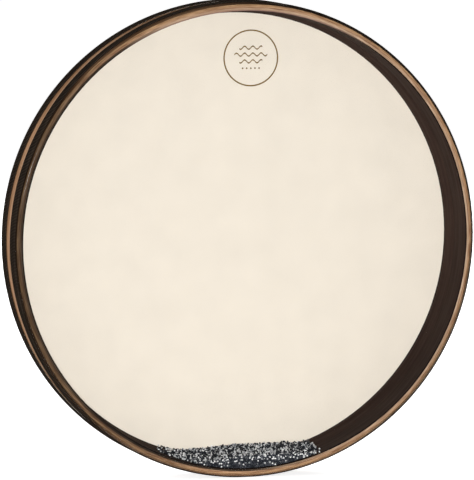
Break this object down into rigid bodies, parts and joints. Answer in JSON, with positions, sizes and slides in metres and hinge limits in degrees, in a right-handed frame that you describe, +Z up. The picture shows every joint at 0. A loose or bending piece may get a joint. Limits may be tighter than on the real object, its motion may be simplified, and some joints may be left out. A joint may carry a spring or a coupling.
{
  "type": "ocean drum",
  "caption": "Round double-headed drum: clear front head, woven cream rear head, bent wooden hoop with woven binding tapes, and loose steel beads that roll inside.",
  "frame": {"origin": "middle of the hoop, on its axis", "axes": "+Z up, +Y along the drum's axis from the clear front head to the woven rear head, +X to the right seen from the front"},
  "size_m": [0.5604, 0.07, 0.5604],
  "materials": {
    "stained_wood": "satin stained and oiled bent plywood",
    "dark_wood": "dark matt stain",
    "clear_film": "clear polyester drum film, glossy",
    "woven_head": "coated woven synthetic drum head, matt cream",
    "binding_tape": "ribbed black woven tape",
    "staple_steel": "galvanised wire",
    "gold_print": "gold ink",
    "bead_steel": "polished steel shot"
  },
  "bodies": {
    "drum": {"outer_ply": "stained_wood", "core_ply_outer": "stained_wood", "core_ply_middle": "stained_wood", "core_ply_inner": "stained_wood", "inner_ply": "dark_wood", "rear_ring": "dark_wood", "front_head": "clear_film", "rear_head": "woven_head", "front_tape": "binding_tape", "rear_tape": "binding_tape", "front_staples": "staple_steel", "rear_staples": "staple_steel", "badge_print": "gold_print"},
    "bead_charge": {"bead_bed": "bead_steel", "front_beads": "bead_steel", "top_beads": "bead_steel"},
    "stray_bead": {"stray_bead": "bead_steel"}
  },
  "joints": [
    {"name": "beads_roll", "type": "hinge", "parent": "drum", "child": "bead_charge", "pos_m": [0, 0, 0], "axis": [0, 1, 0], "continuous": true},
    {"name": "stray_bead_roll", "type": "hinge", "parent": "bead_charge", "child": "stray_bead", "pos_m": [0, 0, 0], "axis": [0, 1, 0], "range_deg": [-300, 0]}
  ]
}
